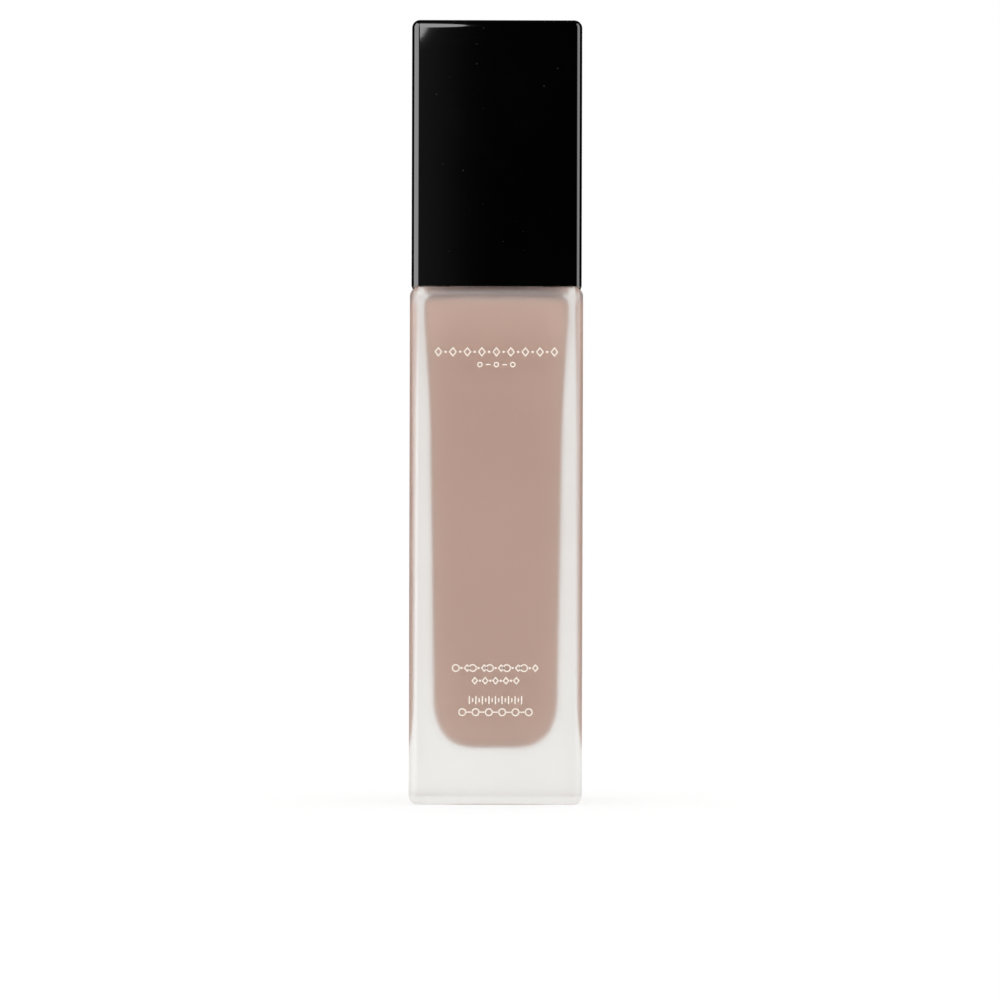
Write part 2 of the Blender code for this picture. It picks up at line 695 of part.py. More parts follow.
def add_stem_plug(body, material):
    """Seats the piston and centres the spring. Two crossed blades locate it in the stem
    and leave the stem's ports open."""
    disc = SPRING_RADIUS + SPRING_WIRE_RADIUS
    guide = SPRING_RADIUS - SPRING_WIRE_RADIUS - SLIDE_GAP
    profile = [
        (0.0, PLUG_TOP),
        (disc, PLUG_TOP),
        (disc, PLUG_Z),
        (guide, PLUG_Z),
        (guide, PLUG_Z - PLUG_GUIDE_LENGTH),
        (0.0, PLUG_Z - PLUG_GUIDE_LENGTH),
    ]
    plug = turned("stem_plug", profile, NARROW, body=body, material=material)
    foot = PLUG_TOP - PLUG_THICKNESS / 2
    width = 2 * (STEM_BORE_RADIUS - SLIDE_GAP)
    blade_size = (width, PLUG_PILOT_BLADE, PLUG_TOP + PLUG_PILOT_LENGTH - foot)
    for name, side in (("pilot_blade_a", 1), ("pilot_blade_b", -1)):
        blade = add_object(name, box_mesh(name, blade_size, foot))
        blade.rotation_euler.z = side * TURN / 8
        boolean(plug, "UNION", blade)


def add_piston(body, material):
    """A sleeve on the stem with a lip that wipes the barrel both ways."""
    outer = BARREL_BORE_RADIUS - SLIDE_GAP
    waist = outer - PISTON_LIP_WALL / 2
    lip = outer - PISTON_LIP_WALL
    bore = STEM_RADIUS + SLIDE_GAP
    sleeve = bore + PISTON_SLEEVE_WALL
    top = PISTON_Z + PISTON_LENGTH
    middle = PISTON_Z + PISTON_LENGTH / 2
    reach = PISTON_LIP_LENGTH / 2
    web = PISTON_WEB / 2
    profile = [
        (outer, middle + reach),
        (waist, middle + reach / 2),
        (waist, middle - reach / 2),
        (outer, middle - reach),
        (lip, middle - reach),
        (lip - PISTON_LIP_WALL / 2, middle - web),
        (sleeve, middle - web),
        (sleeve, PISTON_Z),
        (bore, PISTON_Z),
        (bore, top),
        (sleeve, top),
        (sleeve, middle + web),
        (lip - PISTON_LIP_WALL / 2, middle + web),
        (lip, middle + reach),
    ]
    turned("piston", profile, body=body, material=material)


# ---- Actuator ----


def lay_forward(obj):
    """Turns a piece made along Z so that it points to the front, on the nozzle's axis."""
    obj.rotation_euler.x = TURN / 4
    obj.location.z = NOZZLE_Z


def add_actuator_shell(body, material):
    inner = ACTUATOR_RADIUS - ACTUATOR_WALL
    ceiling = ACTUATOR_TOP - ACTUATOR_ROOF
    edge = ACTUATOR_EDGE_RADIUS
    dish = ACTUATOR_RADIUS - edge
    hollow = [
        (dish * share, ACTUATOR_TOP - ACTUATOR_DISH * (1 - share**2))
        for share in (0.0, 0.3, 0.6, 0.8)
    ]
    profile = [
        *hollow,
        *arc((dish, ACTUATOR_TOP - edge), edge, 90, 0),
        (ACTUATOR_RADIUS, SKIRT_Z),
        (inner, SKIRT_Z),
        (inner, ceiling),
        (0.0, ceiling),
    ]
    shell = turned("actuator_shell", profile, body=body, material=material)
    spout_radius = NOZZLE_RADIUS + SLIDE_GAP + SPOUT_WALL
    tip = ACTUATOR_RADIUS + NOZZLE_REACH - NOZZLE_LIP - SEAT_GAP
    spout = rod("spout_blank", spout_radius, ACTUATOR_RADIUS - 0.8 * ACTUATOR_WALL, tip)
    bore = rod("spout_bore_cut", NOZZLE_RADIUS + SLIDE_GAP, NOZZLE_DEPTH, tip + NOZZLE_REACH)
    lay_forward(spout)
    lay_forward(bore)
    boolean(shell, "UNION", spout)
    boolean(shell, "DIFFERENCE", bore)


def add_actuator_core(body, material):
    """The inner moulding: a hub on the stem, a flange under the roof, a boss for the nozzle."""
    hub = STEM_HOLE_RADIUS + HUB_WALL
    flange = ACTUATOR_RADIUS - ACTUATOR_WALL - SLIDE_GAP
    top = ACTUATOR_TOP - ACTUATOR_ROOF - SEAT_GAP
    profile = [
        (0.0, top),
        (flange, top),
        (flange, top - CORE_FLANGE),
        (hub, top - CORE_FLANGE),
        (hub, HUB_Z),
        (0.0, HUB_Z),
    ]
    core = turned("actuator_core", profile, body=body, material=material)
    seat = NOZZLE_RADIUS + SLIDE_GAP
    boss_radius = seat + SPOUT_WALL
    boss_end = math.sqrt(flange**2 - boss_radius**2)
    boss = rod("boss_blank", boss_radius, hub / 2, boss_end)
    seat_cut = rod("nozzle_seat_cut", seat, NOZZLE_DEPTH, flange + NOZZLE_REACH)
    elbow = CHANNEL_RADIUS / 3
    cross = rod("cross_channel_cut", CHANNEL_RADIUS, -elbow, NOZZLE_DEPTH + NOZZLE_LIP, 14)
    for piece in (boss, seat_cut, cross):
        lay_forward(piece)
    socket = rod("stem_socket_cut", STEM_HOLE_RADIUS, HUB_Z - STROKE, STEM_SOCKET_TOP)
    channel = rod("channel_cut", CHANNEL_RADIUS, STEM_SOCKET_TOP - STEM_WALL, NOZZLE_Z + elbow, 16)
    boolean(core, "UNION", boss)
    boolean(core, "DIFFERENCE", seat_cut, cross, socket, channel)


def add_nozzle_insert(body, material):
    start = NOZZLE_DEPTH + SEAT_GAP
    tip = ACTUATOR_RADIUS + NOZZLE_REACH
    lip = NOZZLE_RADIUS + NOZZLE_LIP
    chamfer = NOZZLE_LIP / 3
    profile = [
        (lip - chamfer, tip),
        (lip, tip - chamfer),
        (lip, tip - NOZZLE_LIP),
        (NOZZLE_RADIUS, tip - NOZZLE_LIP),
        (NOZZLE_RADIUS, start),
        (NOZZLE_BORE, start),
        (NOZZLE_BORE, tip - chamfer),
        (NOZZLE_BORE + chamfer, tip),
    ]
    nozzle = turned("nozzle_insert", profile, NARROW, body=body, material=material)
    lay_forward(nozzle)


# ---- Overcap ----


def add_cap_shell(body, material):
    mesh = post_box("cap_shell", (CAP_WIDTH, CAP_DEPTH, CAP_HEIGHT), CAP_EDGE_RADIUS, CAP_Z, 5)
    top_edge = CAP_TOP - 0.01 * MM
    bevel_edges(mesh, CAP_TOP_RADIUS, 4, lambda a, b: min(a.z, b.z) > top_edge)
    cap = add_object("cap_shell", mesh, body, material)
    room = (CAP_WIDTH - 2 * CAP_WALL, CAP_DEPTH - 2 * CAP_WALL, CAP_HEIGHT)
    hollow_mesh = post_box("cap_hollow_cut", room, CAP_INNER_CORNER, CAP_Z - CAP_WALL)
    hollow = add_object("cap_hollow_cut", hollow_mesh)
    boolean(cap, "DIFFERENCE", hollow)


def add_cap_liner(body, material):
    """A square plate that closes the cap's mouth, and a ribbed bore that grips the sleeve."""
    foot = CAP_Z + LINER_RECESS
    top = foot + LINER_LENGTH
    width = CAP_WIDTH - 2 * (CAP_WALL + SEAT_GAP)
    depth = CAP_DEPTH - 2 * (CAP_WALL + SEAT_GAP)
    corner = CAP_INNER_CORNER - SEAT_GAP / 2
    mesh = post_box("cap_liner", (width, depth, LINER_FLANGE), corner, foot)
    liner = add_object("cap_liner", mesh, body, material)
    sleeve = rod("liner_sleeve", LINER_RADIUS, foot + LINER_FLANGE / 2, top, WIDE)
    boolean(liner, "UNION", sleeve)
    fin_size = (math.hypot(width, depth) - 3 * CAP_INNER_CORNER, LINER_FIN, top - foot - LINER_FLANGE)
    for name, side in (("liner_fin_a", 1), ("liner_fin_b", -1)):
        fin = add_object(name, box_mesh(name, fin_size, foot + LINER_FLANGE / 2))
        fin.rotation_euler.z = side * math.atan2(depth, width)
        boolean(liner, "UNION", fin)
    bore = rod("liner_bore_cut", LINER_BORE_RADIUS, foot - LINER_FLANGE, top + LINER_FLANGE, WIDE)
    boolean(liner, "DIFFERENCE", bore)
    crest = SLEEVE_RADIUS + SEAT_GAP + LINER_RIB_RADIUS
    rib_top = top - LINER_FIN
    for i in range(LINER_RIBS):
        angle = TURN * (i + 0.5) / LINER_RIBS
        rib = rod(f"liner_rib_{i}", LINER_RIB_RADIUS, foot + LINER_FLANGE / 2, rib_top, 12)
        rib.location.x = crest * math.cos(angle)
        rib.location.y = crest * math.sin(angle)
        boolean(liner, "UNION", rib)


# ---- Assembly ----

clear_scene()
PARTS = new_collection("foundation_bottle")
CUTTERS = new_collection("cutters")

frosted_glass = new_material("frosted_glass", (0.86, 0.85, 0.83), 0.35, transmission=0.9)
foundation = new_material("foundation", (0.48, 0.31, 0.25), 0.4)
black_gloss = new_material("black_gloss", (0.006, 0.006, 0.007), 0.08)
black_sleeve = new_material("black_sleeve", (0.01, 0.01, 0.011), 0.22, metallic=1.0)
black_plastic = new_material("black_plastic", (0.012, 0.012, 0.013), 0.35)
natural_plastic = new_material("natural_plastic", (0.78, 0.78, 0.75), 0.4)
clear_tube = new_material("clear_tube", (0.8, 0.82, 0.82), 0.3, transmission=0.6)
soft_seal = new_material("soft_seal", (0.82, 0.82, 0.8), 0.6)
steel = new_material("stainless_steel", (0.6, 0.6, 0.6), 0.25, metallic=1.0)
paper = new_material("label_paper", (0.85, 0.84, 0.8), 0.8)

bottle_body = new_body("bottle_body")
pump_body = new_body("pump_body", bottle_body)
closure_body = new_body("closure_body", pump_body)
cap_body = new_body("cap_body", pump_body)
stem_body = new_body("stem_body", pump_body)
ball_body = new_body("ball_body", pump_body)
actuator_body = new_body("actuator_body", stem_body)
piston_body = new_body("piston_body", stem_body)

add_glass_bottle(bottle_body, frosted_glass)
add_foundation_fill(bottle_body, foundation)
add_base_label(bottle_body, paper)
add_pump_housing(pump_body, natural_plastic)
add_pump_turret(pump_body, black_plastic)
add_neck_gasket(pump_body, soft_seal)
add_dip_tube(pump_body, clear_tube)
add_ball_retainer(pump_body, natural_plastic)
add_return_spring(pump_body, steel)
add_inlet_ball(ball_body, steel)
add_closure_ring(closure_body, black_plastic)
add_closure_shell(closure_body, black_sleeve)
add_cap_shell(cap_body, black_gloss)
add_cap_liner(cap_body, black_plastic)
add_pump_stem(stem_body, natural_plastic)
add_stem_plug(stem_body, natural_plastic)
add_piston(piston_body, soft_seal)
add_actuator_shell(actuator_body, black_plastic)
add_actuator_core(actuator_body, natural_plastic)
add_nozzle_insert(actuator_body, black_plastic)
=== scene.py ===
import math

import bmesh
import bpy
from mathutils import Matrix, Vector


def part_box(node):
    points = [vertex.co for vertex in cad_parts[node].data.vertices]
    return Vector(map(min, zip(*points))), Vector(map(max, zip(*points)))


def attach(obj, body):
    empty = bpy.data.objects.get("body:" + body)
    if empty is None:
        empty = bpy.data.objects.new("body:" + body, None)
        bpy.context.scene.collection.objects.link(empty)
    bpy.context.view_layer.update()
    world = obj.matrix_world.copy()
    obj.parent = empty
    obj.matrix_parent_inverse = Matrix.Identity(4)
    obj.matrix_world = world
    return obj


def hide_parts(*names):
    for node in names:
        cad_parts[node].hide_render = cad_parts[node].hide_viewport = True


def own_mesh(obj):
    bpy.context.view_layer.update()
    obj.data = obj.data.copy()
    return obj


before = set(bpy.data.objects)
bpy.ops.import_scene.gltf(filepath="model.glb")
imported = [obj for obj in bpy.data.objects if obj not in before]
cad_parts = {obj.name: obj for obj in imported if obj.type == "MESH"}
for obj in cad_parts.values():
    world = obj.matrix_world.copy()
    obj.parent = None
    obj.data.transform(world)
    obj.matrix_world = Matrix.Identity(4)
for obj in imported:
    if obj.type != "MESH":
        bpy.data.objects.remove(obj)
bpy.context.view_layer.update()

mm = 0.001
tiny = 0.01 * mm
wholeTurn = math.tau
quarterTurn = wholeTurn / 4
smoothAngle = math.radians(32)  # edges flatter than this shade smooth
scene = bpy.context.scene


def activate(piece):
    bpy.ops.object.select_all(action="DESELECT")
    piece.select_set(True)
    bpy.context.view_layer.objects.active = piece


def startEditing(piece, kind="VERT"):
    activate(piece)
    bpy.ops.object.mode_set(mode="EDIT")
    bpy.ops.mesh.select_mode(type=kind)


def stopEditing(piece):
    bpy.ops.mesh.select_all(action="SELECT")
    bpy.ops.mesh.remove_doubles(threshold=1e-7)
    bpy.ops.mesh.normals_make_consistent(inside=False)
    bpy.ops.object.mode_set(mode="OBJECT")
    return piece


def pick(piece, kind, test):
    bpy.ops.mesh.select_mode(type=kind)
    bpy.ops.mesh.select_all(action="DESELECT")
    mesh = bmesh.from_edit_mesh(piece.data)
    found = {"VERT": mesh.verts, "EDGE": mesh.edges, "FACE": mesh.faces}[kind]
    for each in found:
        if test(each):
            each.select_set(True)
    bmesh.update_edit_mesh(piece.data)


def near(a, b, slack=tiny):
    return abs(a - b) < slack


def isUpright(edge):
    return abs(edge.verts[0].co.z - edge.verts[1].co.z) > tiny


def facesAt(height):
    return lambda face: all(near(v.co.z, height) for v in face.verts)


def applyModifiers(piece):
    activate(piece)
    for modifier in list(piece.modifiers):
        bpy.ops.object.modifier_apply(modifier=modifier.name)
    return piece


def combine(piece, other, operation):
    change = piece.modifiers.new("combine", "BOOLEAN")
    change.operation = operation
    change.solver = "EXACT"
    change.object = other
    applyModifiers(piece)
    bpy.data.objects.remove(other)
    return piece


def block(name, size, centre):
    bpy.ops.mesh.primitive_cube_add(size=1, location=centre, scale=size)
    piece = bpy.context.object
    piece.name = name
    bpy.ops.object.transform_apply(location=True, rotation=True, scale=True)
    return piece


def turned(name, profile, steps=96):  # (radius, height) points spun round the axis
    bpy.ops.mesh.primitive_plane_add(size=mm)
    piece = bpy.context.object
    piece.name = name
    startEditing(piece)
    bpy.ops.mesh.select_all(action="SELECT")
    bpy.ops.mesh.merge(type="CENTER")
    bpy.ops.transform.translate(value=(profile[0][0], 0, profile[0][1]))
    for last, point in zip(profile, profile[1:]):
        move = (point[0] - last[0], 0, point[1] - last[1])
        bpy.ops.mesh.extrude_region_move(TRANSFORM_OT_translate={"value": move})
    bpy.ops.mesh.select_all(action="SELECT")
    bpy.ops.mesh.spin(steps=steps, angle=wholeTurn, center=(0, 0, 0), axis=(0, 0, 1))
    return stopEditing(piece)


def arcPoints(centre, radius, start, end, count):  # degrees from +radius towards +height
    points = []
    for i in range(count + 1):
        angle = math.radians(start + (end - start) * i / count)
        points.append((centre[0] + radius * math.cos(angle), centre[1] + radius * math.sin(angle)))
    return points


def layForward(piece, place):  # a piece turned round Z then points to the front
    piece.rotation_euler = (quarterTurn, 0, 0)
    piece.location = place
    activate(piece)
    bpy.ops.object.transform_apply(location=True, rotation=True, scale=True)
    return piece


def wind(piece, turns, rise, steps):  # a ring of points becomes a closed helix round the axis
    winding = piece.modifiers.new("winding", "SCREW")
    winding.angle = wholeTurn * turns
    winding.screw_offset = rise
    winding.steps = winding.render_steps = steps
    winding.use_merge_vertices = False
    applyModifiers(piece)
    startEditing(piece, "EDGE")
    bpy.ops.mesh.select_all(action="DESELECT")
    bpy.ops.mesh.select_non_manifold()
    bpy.ops.mesh.edge_face_add()
    return stopEditing(piece)


def settle(piece, material, slot, body, *nodes):
    activate(piece)
    bpy.ops.object.transform_apply(location=True, rotation=True, scale=True)
    bpy.ops.object.shade_smooth_by_angle(angle=smoothAngle)
    normals = piece.modifiers.new("normals", "WEIGHTED_NORMAL")
    normals.keep_sharp = True
    applyModifiers(piece)
    piece.data.materials.clear()
    piece.data.materials.append(material)
    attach(piece, body)
    if nodes:
        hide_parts(*nodes)
    return piece


def add(tree, kind, settings, sockets):
    made = tree.nodes.new("ShaderNode" + kind)
    for name, value in settings.items():
        setattr(made, name, value)
    for name, value in sockets.items():
        if isinstance(value, bpy.types.NodeSocket):
            tree.links.new(value, made.inputs[name])
        else:
            made.inputs[name].default_value = value
    return made


def effect(name, inputs, outputs):
    group = bpy.data.node_groups.new(name, "ShaderNodeTree")
    group.interface.new_socket("Vector", in_out="INPUT", socket_type="NodeSocketVector")
    for label, value in inputs.items():
        made = group.interface.new_socket(label, in_out="INPUT", socket_type="NodeSocketFloat")
        made.default_value = value
    for label in outputs:
        kind = "NodeSocketColor" if label == "Color" else "NodeSocketFloat"
        group.interface.new_socket(label, in_out="OUTPUT", socket_type=kind)
    start = group.nodes.new("NodeGroupInput")
    end = group.nodes.new("NodeGroupOutput")
    return group, start.outputs, end.inputs


def remap(tree, value, low, high, toLow=0.0, toHigh=1.0, smooth=False):
    kind = "SMOOTHSTEP" if smooth else "LINEAR"
    made = add(tree, "MapRange", {"interpolation_type": kind},
               {"Value": value, "From Min": low, "From Max": high, "To Min": toLow, "To Max": toHigh})
    return made.outputs["Result"]


def reckon(tree, operation, a, b, c=0.5):
    return add(tree, "Math", {"operation": operation}, {0: a, 1: b, 2: c}).outputs[0]


def noise(tree, vector, scale, detail=3.0, roughness=0.5):
    made = add(tree, "TexNoise", {},
               {"Vector": vector, "Scale": scale, "Detail": detail, "Roughness": roughness})
    return made.outputs["Fac"]


# moulding grain: a fine texture over slow waves left by the mould
fineGrain, grainIn, grainOut = effect("fineGrain", {"Scale": 2500.0, "Waves": 90.0}, ["Height", "Spread"])
fine = noise(fineGrain, grainIn["Vector"], grainIn["Scale"], 4.0, 0.6)
slow = noise(fineGrain, grainIn["Vector"], grainIn["Waves"], 2.0)
bothGrains = reckon(fineGrain, "MULTIPLY_ADD", fine, 0.25, slow)
fineGrain.links.new(bothGrains, grainOut["Height"])
fineGrain.links.new(remap(fineGrain, slow, 0.35, 0.65, smooth=True), grainOut["Spread"])

# handling: soft smudges and a few hairline scratches
handlingWear, wearIn, wearOut = effect("handlingWear", {"Smudges": 120.0, "Scratches": 60.0},
                                       ["Smudge", "Scratch"])
smudge = noise(handlingWear, wearIn["Vector"], wearIn["Smudges"], 5.0, 0.65)
handlingWear.links.new(remap(handlingWear, smudge, 0.48, 0.72, smooth=True), wearOut["Smudge"])
slanted = add(handlingWear, "Mapping", {},
              {"Vector": wearIn["Vector"], "Rotation": (0.3, 0.5, 0.9), "Scale": (1.0, 14.0, 14.0)})
scratchCells = add(handlingWear, "TexVoronoi", {"feature": "DISTANCE_TO_EDGE"},
                   {"Vector": slanted.outputs["Vector"], "Scale": wearIn["Scratches"]})
scratchLine = remap(handlingWear, scratchCells.outputs["Distance"], 0.0, 0.006, 1.0, 0.0)
scratchPlace = noise(handlingWear, wearIn["Vector"], wearIn["Scratches"], 2.0)
scratchMask = remap(handlingWear, scratchPlace, 0.6, 0.68)
handlingWear.links.new(reckon(handlingWear, "MULTIPLY", scratchLine, scratchMask), wearOut["Scratch"])

# dust: sparse pale specks of unlike sizes
dustSpecks, dustIn, dustOut = effect("dustSpecks", {"Scale": 420.0, "Amount": 0.5}, ["Specks"])
speckCells = add(dustSpecks, "TexVoronoi", {}, {"Vector": dustIn["Vector"], "Scale": dustIn["Scale"]})
speckChoice = add(dustSpecks, "SeparateColor", {}, {"Color": speckCells.outputs["Color"]})
speckSize = remap(dustSpecks, speckChoice.outputs["Red"], 0.86, 1.0, 0.0, 0.16)
speckShape = reckon(dustSpecks, "LESS_THAN", speckCells.outputs["Distance"], speckSize)
dustSpecks.links.new(reckon(dustSpecks, "MULTIPLY", speckShape, dustIn["Amount"]), dustOut["Specks"])

# frosting: an etched skin, cloudier in slow patches
etchedFrost, frostIn, frostOut = effect("etchedFrost", {"Grain": 6000.0, "Clouds": 70.0}, ["Height", "Cloud"])
etched = noise(etchedFrost, frostIn["Vector"], frostIn["Grain"], 2.0, 0.6)
clouds = noise(etchedFrost, frostIn["Vector"], frostIn["Clouds"], 3.0)
etchedFrost.links.new(etched, frostOut["Height"])
etchedFrost.links.new(remap(etchedFrost, clouds, 0.3, 0.7, smooth=True), frostOut["Cloud"])

# spun metal: lines that run round the upright axis
brushedLines, brushIn, brushOut = effect("brushedLines", {"Lines": 5000.0}, ["Height"])
flattened = add(brushedLines, "Mapping", {}, {"Vector": brushIn["Vector"], "Scale": (0.02, 0.02, 1.0)})
grooves = noise(brushedLines, flattened.outputs["Vector"], brushIn["Lines"], 3.0, 0.7)
brushedLines.links.new(grooves, brushOut["Height"])


def newMaterial(name, constants):
    material = bpy.data.materials.new(name)
    material.use_nodes = True
    tree = material.node_tree
    shader = tree.nodes["Principled BSDF"]
    for socket, value in constants.items():
        shader.inputs[socket].default_value = value
    place = add(tree, "TexCoord", {}, {}).outputs["Object"]
    return material, tree, shader, place


def useEffect(tree, group, place, **values):
    made = tree.nodes.new("ShaderNodeGroup")
    made.node_tree = group
    tree.links.new(place, made.inputs["Vector"])
    for name, value in values.items():
        made.inputs[name].default_value = value
    return made.outputs


def bumpUp(tree, shader, height, distance, strength=1.0):
    bump = add(tree, "Bump", {}, {"Height": height, "Distance": distance, "Strength": strength})
    tree.links.new(bump.outputs["Normal"], shader.inputs["Normal"])


def mixColors(tree, share, a, b):
    made = add(tree, "Mix", {"data_type": "RGBA"}, {0: share, 6: a, 7: b})
    return made.outputs[2]


def moulded(name, color, paler, rough, rougher, grain=0.004, constants=None):
    material, tree, shader, place = newMaterial(name, {"IOR": 1.5, **(constants or {})})
    grains = useEffect(tree, fineGrain, place)
    wear = useEffect(tree, handlingWear, place)
    dust = useEffect(tree, dustSpecks, place, Amount=0.35)
    shade = mixColors(tree, grains["Spread"], color, paler)
    shade = mixColors(tree, dust["Specks"], shade, (0.35, 0.34, 0.33, 1.0))
    tree.links.new(shade, shader.inputs["Base Color"])
    spread = reckon(tree, "MAXIMUM", wear["Smudge"], wear["Scratch"])
    tree.links.new(remap(tree, spread, 0.0, 1.0, rough, rougher), shader.inputs["Roughness"])
    bumpUp(tree, shader, grains["Height"], grain * mm)
    return material


print("stage: effects ready")


glassLook = {"tint": (0.985, 0.983, 0.975, 1.0), "cloudTint": (0.97, 0.966, 0.955, 1.0),
             "clear": 0.285, "cloudy": 0.35, "through": 0.92, "etch": 0.0015 * mm}
glassConstants = {"Transmission Weight": glassLook["through"], "Metallic": 0.0, "IOR": 1.5,
                  "Specular IOR Level": 0.2}
frostedGlass, tree, shader, place = newMaterial("frosted_glass", glassConstants)
frost = useEffect(tree, etchedFrost, place)
wear = useEffect(tree, handlingWear, place, Smudges=90.0)
frostTint = mixColors(tree, frost["Cloud"], glassLook["tint"], glassLook["cloudTint"])
tree.links.new(frostTint, shader.inputs["Base Color"])
hazy = reckon(tree, "MULTIPLY_ADD", wear["Smudge"], 0.4, frost["Cloud"])
tree.links.new(remap(tree, hazy, 0.0, 1.4, glassLook["clear"], glassLook["cloudy"]), shader.inputs["Roughness"])
bumpUp(tree, shader, frost["Height"], glassLook["etch"])

# the last colour and the foot above 82.8 mm are painted light: a paler top under the shoulder, brightening the
# shade that falls there
liquidLook = {"color": (0.73, 0.46, 0.355, 1.0), "deeper": (0.7, 0.437, 0.335, 1.0),
              "thin": (0.86, 0.565, 0.45, 1.0), "paintedLight": (0.97, 0.74, 0.68, 1.0),
              "thinFoot": 71 * mm, "paintedLightFoot": 82.8 * mm, "top": 84.4 * mm}
foundation, tree, shader, place = newMaterial("foundation_liquid", {"IOR": 1.42, "Coat Weight": 0.0})
swirls = add(tree, "TexWave", {"wave_type": "BANDS", "bands_direction": "Z"},
             {"Vector": place, "Scale": 9.0, "Distortion": 9.0, "Detail": 3.0, "Detail Scale": 1.4})
settled = useEffect(tree, fineGrain, place, Waves=60.0)
pigment = reckon(tree, "MULTIPLY_ADD", swirls.outputs["Fac"], 0.35, settled["Spread"])
stirred = mixColors(tree, pigment, liquidLook["color"], liquidLook["deeper"])
height = add(tree, "SeparateXYZ", {}, {"Vector": place}).outputs["Z"]
thinning = remap(tree, height, liquidLook["thinFoot"], liquidLook["paintedLightFoot"], smooth=True)
thinned = mixColors(tree, thinning, stirred, liquidLook["thin"])
# painted light: a paler top under the shoulder, brightening the shade that the cap and shoulder cast on the
# liquid
paintedLightShare = remap(tree, height, liquidLook["paintedLightFoot"], liquidLook["top"], smooth=True)
tree.links.new(mixColors(tree, paintedLightShare, thinned, liquidLook["paintedLight"]), shader.inputs["Base Color"])
tree.links.new(remap(tree, settled["Spread"], 0.0, 1.0, 0.32, 0.42), shader.inputs["Roughness"])
bumpUp(tree, shader, settled["Height"], 0.002 * mm)

capLook = {"face": (0.0003, 0.0003, 0.0004, 1.0), "paler": (0.0007, 0.0007, 0.0008, 1.0),
           "dust": (0.02, 0.02, 0.02, 1.0), "gloss": 0.035, "dull": 0.12}
capGloss, tree, shader, place = newMaterial("black_gloss", {"IOR": 1.5})
grains = useEffect(tree, fineGrain, place, Waves=40.0)
wear = useEffect(tree, handlingWear, place)
dust = useEffect(tree, dustSpecks, place, Scale=900.0, Amount=0.7)
shade = mixColors(tree, grains["Spread"], capLook["face"], capLook["paler"])
tree.links.new(mixColors(tree, dust["Specks"], shade, capLook["dust"]), shader.inputs["Base Color"])
marks = reckon(tree, "MULTIPLY_ADD", wear["Smudge"], 0.3, wear["Scratch"])
tree.links.new(remap(tree, marks, 0.0, 1.3, capLook["gloss"], capLook["dull"]), shader.inputs["Roughness"])
bumpUp(tree, shader, grains["Height"], 0.0006 * mm)

plasticLook = {"black": (0.006, 0.006, 0.0065, 1.0), "paleBlack": (0.010, 0.010, 0.0105, 1.0),
               "natural": (0.72, 0.71, 0.67, 1.0), "milky": (0.66, 0.65, 0.61, 1.0),
               "seal": (0.78, 0.77, 0.74, 1.0), "agedSeal": (0.7, 0.69, 0.66, 1.0),
               "tube": (0.86, 0.87, 0.86, 1.0), "hazyTube": (0.8, 0.81, 0.8, 1.0)}
blackPlastic = moulded("black_plastic", plasticLook["black"], plasticLook["paleBlack"], 0.22, 0.34)
naturalPlastic = moulded("natural_plastic", plasticLook["natural"], plasticLook["milky"], 0.38, 0.5,
                         constants={"Subsurface Weight": 0.15, "Subsurface Scale": 0.001})
softSeal = moulded("soft_seal", plasticLook["seal"], plasticLook["agedSeal"], 0.55, 0.7, 0.01)
tubePlastic = moulded("clear_tube", plasticLook["tube"], plasticLook["hazyTube"], 0.2, 0.3,
                      constants={"Transmission Weight": 0.8, "Metallic": 0.0})

sleeveLook = {"dark": (0.028, 0.028, 0.03, 1.0), "lit": (0.05, 0.05, 0.052, 1.0), "smooth": 0.28, "rubbed": 0.4}
lacquered = {"Metallic": 1.0, "Coat Weight": 0.5, "Coat Roughness": 0.08}
sleeveMetal, tree, shader, place = newMaterial("black_sleeve", lacquered)
lines = useEffect(tree, brushedLines, place)
wear = useEffect(tree, handlingWear, place)
anodised = mixColors(tree, lines["Height"], sleeveLook["dark"], sleeveLook["lit"])
tree.links.new(anodised, shader.inputs["Base Color"])
rubbed = remap(tree, wear["Smudge"], 0.0, 1.0, sleeveLook["smooth"], sleeveLook["rubbed"])
tree.links.new(rubbed, shader.inputs["Roughness"])
bumpUp(tree, shader, lines["Height"], 0.002 * mm)

steelLook = {"bright": (0.62, 0.61, 0.59, 1.0), "drawn": (0.5, 0.49, 0.47, 1.0)}
springSteel, tree, shader, place = newMaterial("stainless_steel", {"Metallic": 1.0})
lines = useEffect(tree, brushedLines, place, Lines=9000.0)
drawn = mixColors(tree, lines["Height"], steelLook["bright"], steelLook["drawn"])
tree.links.new(drawn, shader.inputs["Base Color"])
tree.links.new(remap(tree, lines["Height"], 0.3, 0.7, 0.18, 0.32), shader.inputs["Roughness"])
bumpUp(tree, shader, lines["Height"], 0.001 * mm)

paperLook = {"pale": (0.8, 0.79, 0.76, 1.0), "fibre": (0.68, 0.67, 0.64, 1.0)}
labelPaper, tree, shader, place = newMaterial("label_paper", {"IOR": 1.45})
fibres = add(tree, "Mapping", {}, {"Vector": place, "Scale": (1.0, 4.0, 1.0)})
fibre = noise(tree, fibres.outputs["Vector"], 1800.0, 5.0, 0.7)
paper = mixColors(tree, fibre, paperLook["pale"], paperLook["fibre"])
tree.links.new(paper, shader.inputs["Base Color"])
tree.links.new(remap(tree, fibre, 0.3, 0.7, 0.6, 0.8), shader.inputs["Roughness"])
bumpUp(tree, shader, fibre, 0.01 * mm)

inkLook = {"cream": (0.97, 0.89, 0.8, 1.0), "thin": (0.92, 0.83, 0.74, 1.0)}
creamInk, tree, shader, place = newMaterial("cream_ink", {"IOR": 1.48})
inkGrain = useEffect(tree, fineGrain, place, Scale=9000.0, Waves=1500.0)
inked = mixColors(tree, inkGrain["Spread"], inkLook["cream"], inkLook["thin"])
tree.links.new(inked, shader.inputs["Base Color"])
tree.links.new(remap(tree, inkGrain["Spread"], 0.0, 1.0, 0.3, 0.45), shader.inputs["Roughness"])
bumpUp(tree, shader, inkGrain["Height"], 0.002 * mm)

print("stage: materials ready")


